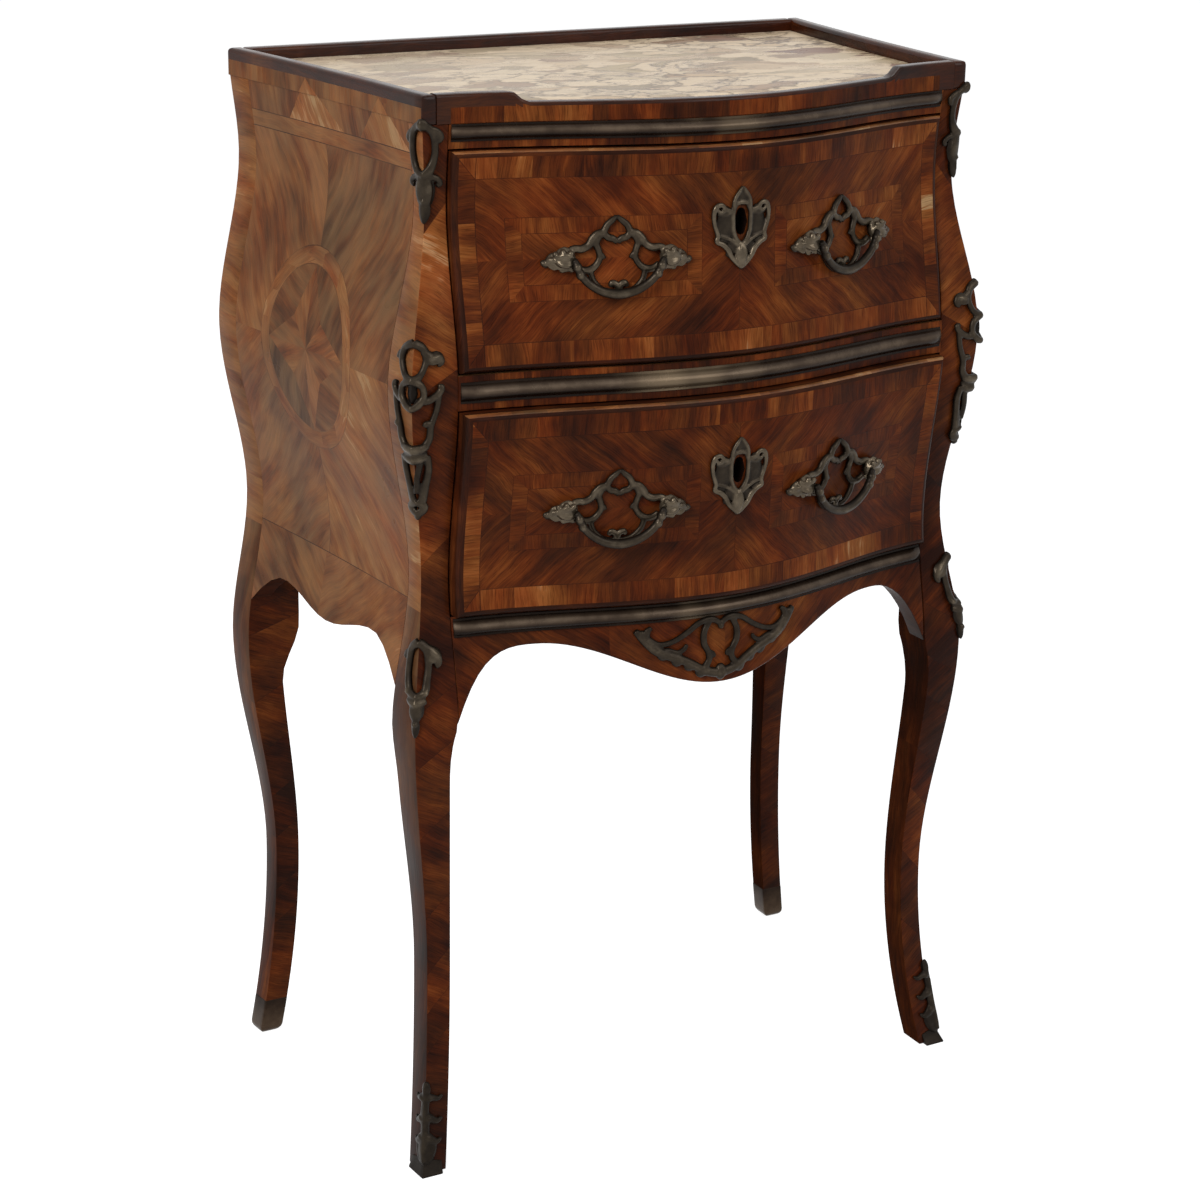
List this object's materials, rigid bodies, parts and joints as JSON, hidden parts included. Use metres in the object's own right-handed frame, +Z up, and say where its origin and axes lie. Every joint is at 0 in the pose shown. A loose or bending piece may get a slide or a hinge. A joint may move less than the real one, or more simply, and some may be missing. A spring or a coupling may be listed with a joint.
{
  "type": "nightstand",
  "caption": "Bombe bedside commode on cabriole legs with two sliding drawers, swinging bail handles, locks, bronze mounts and a marble top set in a low gallery.",
  "frame": {"origin": "on the floor under the middle of the overall width and depth", "axes": "+X to the right seen from the front, -Y out of the drawers, +Z up"},
  "size_m": [0.5274, 0.3382, 0.8],
  "materials": {
    "veneer": "French-polished kingwood veneer",
    "rim_wood": "polished dark rim wood",
    "carcass_wood": "bare softwood",
    "marble": "polished breccia marble",
    "bronze": "dark patinated bronze",
    "brass": "aged brass",
    "iron": "blackened iron"
  },
  "bodies": {
    "carcass": {"apron_mount": "bronze", "back_panel": "carcass_wood", "bottom_board": "carcass_wood", "bottom_brass_band": "brass", "drawer_divider_rail": "veneer", "dust_board": "carcass_wood", "front_apron": "veneer", "front_gallery_rail": "rim_wood", "left_front_leg": "veneer", "left_front_sabot": "bronze", "left_gallery_rail": "rim_wood", "left_knee_mount": "bronze", "left_middle_corner_mount": "bronze", "left_rear_foot_cap": "bronze", "left_rear_leg": "veneer", "left_side_panel": "veneer", "left_top_corner_mount": "bronze", "lower_left_runner": "carcass_wood", "lower_right_runner": "carcass_wood", "marble_top": "marble", "middle_brass_band": "brass", "rear_gallery_rail": "rim_wood", "right_front_leg": "veneer", "right_front_sabot": "bronze", "right_gallery_rail": "rim_wood", "right_knee_mount": "bronze", "right_middle_corner_mount": "bronze", "right_rear_foot_cap": "bronze", "right_rear_leg": "veneer", "right_side_panel": "veneer", "right_top_corner_mount": "bronze", "top_board": "carcass_wood", "top_brass_band": "brass", "upper_front_rail": "veneer", "upper_left_runner": "carcass_wood", "upper_right_runner": "carcass_wood"},
    "upper_drawer": {"upper_drawer_back": "carcass_wood", "upper_drawer_bottom": "carcass_wood", "upper_drawer_front": "veneer", "upper_drawer_left_side": "carcass_wood", "upper_drawer_right_side": "carcass_wood", "upper_escutcheon": "bronze", "upper_left_handle_plate": "bronze", "upper_lock_case": "iron", "upper_right_handle_plate": "bronze"},
    "lower_drawer": {"lower_drawer_back": "carcass_wood", "lower_drawer_bottom": "carcass_wood", "lower_drawer_front": "veneer", "lower_drawer_left_side": "carcass_wood", "lower_drawer_right_side": "carcass_wood", "lower_escutcheon": "bronze", "lower_left_handle_plate": "bronze", "lower_lock_case": "iron", "lower_right_handle_plate": "bronze"},
    "lower_left_bail_body": {"lower_left_bail": "bronze"},
    "lower_lock_bolt_body": {"lower_lock_bolt": "brass"},
    "lower_right_bail_body": {"lower_right_bail": "bronze"},
    "upper_left_bail_body": {"upper_left_bail": "bronze"},
    "upper_lock_bolt_body": {"upper_lock_bolt": "brass"},
    "upper_right_bail_body": {"upper_right_bail": "bronze"}
  },
  "joints": [
    {"name": "upper_drawer_slide", "type": "slide", "parent": "carcass", "child": "upper_drawer", "axis": [0, -1, 0], "range_m": [0, 0.19]},
    {"name": "lower_drawer_slide", "type": "slide", "parent": "carcass", "child": "lower_drawer", "axis": [0, -1, 0], "range_m": [-0.006, 0.184]},
    {"name": "upper_left_bail_swing", "type": "hinge", "parent": "upper_drawer", "child": "upper_left_bail_body", "pos_m": [-0.09906, -0.14384, 0.6862], "axis": [-0.9566, 0.2913, 0], "range_deg": [0, 80]},
    {"name": "upper_right_bail_swing", "type": "hinge", "parent": "upper_drawer", "child": "upper_right_bail_body", "pos_m": [0.09906, -0.14384, 0.6862], "axis": [-0.9566, -0.2913, 0], "range_deg": [0, 80]},
    {"name": "upper_bolt_slide", "type": "slide", "parent": "upper_drawer", "child": "upper_lock_bolt_body", "axis": [0, 0, 1], "range_m": [0, 0.009]},
    {"name": "lower_left_bail_swing", "type": "hinge", "parent": "lower_drawer", "child": "lower_left_bail_body", "pos_m": [-0.09886, -0.15189, 0.5077], "axis": [-0.9621, 0.2727, 0], "range_deg": [0, 80]},
    {"name": "lower_right_bail_swing", "type": "hinge", "parent": "lower_drawer", "child": "lower_right_bail_body", "pos_m": [0.09886, -0.15189, 0.5077], "axis": [-0.9621, -0.2727, 0], "range_deg": [0, 80]},
    {"name": "lower_bolt_slide", "type": "slide", "parent": "lower_drawer", "child": "lower_lock_bolt_body", "axis": [0, 0, 1], "range_m": [0, 0.009]}
  ]
}
